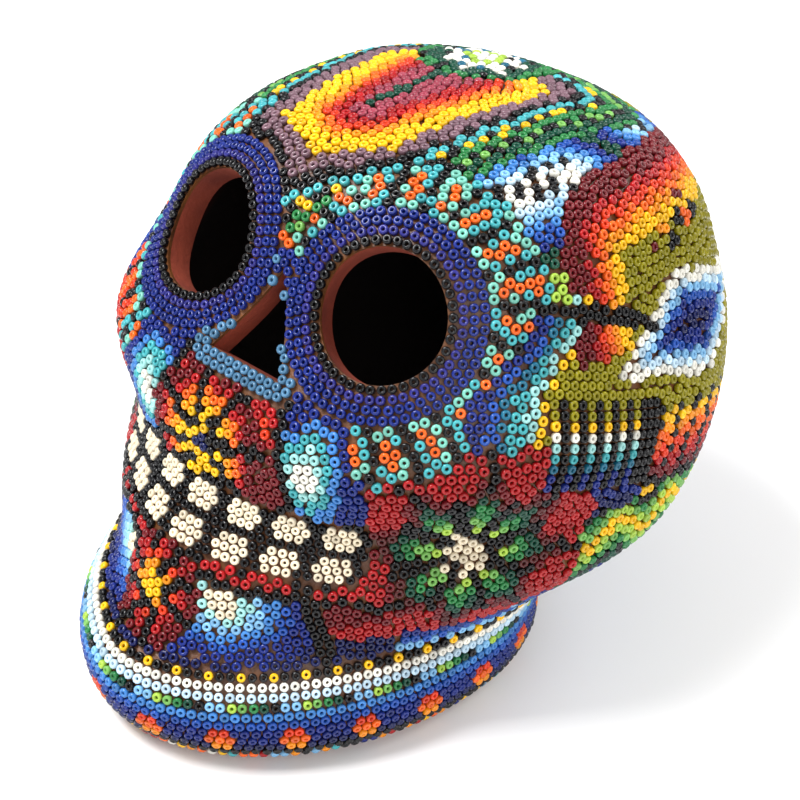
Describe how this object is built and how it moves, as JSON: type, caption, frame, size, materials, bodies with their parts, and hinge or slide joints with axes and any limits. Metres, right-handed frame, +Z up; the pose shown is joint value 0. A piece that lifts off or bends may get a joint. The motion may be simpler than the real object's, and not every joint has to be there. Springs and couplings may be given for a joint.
{
  "type": "beaded skull figure",
  "caption": "Hollow clay skull with open eye sockets and nose, covered in wax and pressed glass seed beads in geometric motif fields.",
  "frame": {"origin": "on the table under the middle of the box round the object", "axes": "+Z up, the face looks along -Y, the skull's own left side is +X"},
  "size_m": [0.1216, 0.1472, 0.112],
  "materials": {
    "fired_clay": "matt, unglazed",
    "wax": "satin beeswax and resin",
    "beads_back_field": "opaque glass seed beads, gloss",
    "beads_brow_hexagon": "opaque glass seed beads, gloss",
    "beads_cheek_flower": "opaque glass seed beads, gloss",
    "beads_chin_flower": "opaque glass seed beads, gloss",
    "beads_chin_leaf": "opaque glass seed beads, gloss",
    "beads_crown_star": "opaque glass seed beads, gloss",
    "beads_eye_fringe": "opaque glass seed beads, gloss",
    "beads_eye_rim": "opaque glass seed beads, gloss",
    "beads_eye_ring": "opaque glass seed beads, gloss",
    "beads_feathers": "opaque glass seed beads, gloss",
    "beads_halo": "opaque glass seed beads, gloss",
    "beads_jaw_blue_band": "opaque glass seed beads, gloss",
    "beads_jaw_edge_row": "opaque glass seed beads, gloss",
    "beads_jaw_white_row": "opaque glass seed beads, gloss",
    "beads_muzzle_diamond": "opaque glass seed beads, gloss",
    "beads_muzzle_wedge": "opaque glass seed beads, gloss",
    "beads_nose_border": "opaque glass seed beads, gloss",
    "beads_rhombus": "opaque glass seed beads, gloss",
    "beads_side_panel": "opaque glass seed beads, gloss",
    "beads_star_field": "opaque glass seed beads, gloss",
    "beads_teeth": "opaque glass seed beads, gloss",
    "beads_teeth_line": "opaque glass seed beads, gloss",
    "beads_temple_field": "opaque glass seed beads, gloss",
    "beads_wing_fringe": "opaque glass seed beads, gloss"
  },
  "bodies": {
    "root": {"brow_hexagon": "beads_brow_hexagon", "chin_flower": "beads_chin_flower", "clay_skull": "fired_clay", "crown_star": "beads_crown_star", "jaw_blue_band": "beads_jaw_blue_band", "jaw_edge_row": "beads_jaw_edge_row", "jaw_white_row": "beads_jaw_white_row", "left_back_field": "beads_back_field", "left_cheek_flower": "beads_cheek_flower", "left_chin_leaf": "beads_chin_leaf", "left_eye_fringe": "beads_eye_fringe", "left_eye_rim": "beads_eye_rim", "left_eye_ring": "beads_eye_ring", "left_feathers": "beads_feathers", "left_halo": "beads_halo", "left_muzzle_wedge": "beads_muzzle_wedge", "left_rhombus": "beads_rhombus", "left_side_panel": "beads_side_panel", "left_star_field": "beads_star_field", "left_temple_field": "beads_temple_field", "left_wing_fringe": "beads_wing_fringe", "lower_teeth": "beads_teeth", "muzzle_diamond": "beads_muzzle_diamond", "nose_border": "beads_nose_border", "right_back_field": "beads_back_field", "right_cheek_flower": "beads_cheek_flower", "right_chin_leaf": "beads_chin_leaf", "right_eye_fringe": "beads_eye_fringe", "right_eye_rim": "beads_eye_rim", "right_eye_ring": "beads_eye_ring", "right_feathers": "beads_feathers", "right_halo": "beads_halo", "right_muzzle_wedge": "beads_muzzle_wedge", "right_rhombus": "beads_rhombus", "right_side_panel": "beads_side_panel", "right_star_field": "beads_star_field", "right_temple_field": "beads_temple_field", "right_wing_fringe": "beads_wing_fringe", "teeth_line": "beads_teeth_line", "upper_teeth": "beads_teeth", "wax_coat": "wax"}
  },
  "joints": []
}
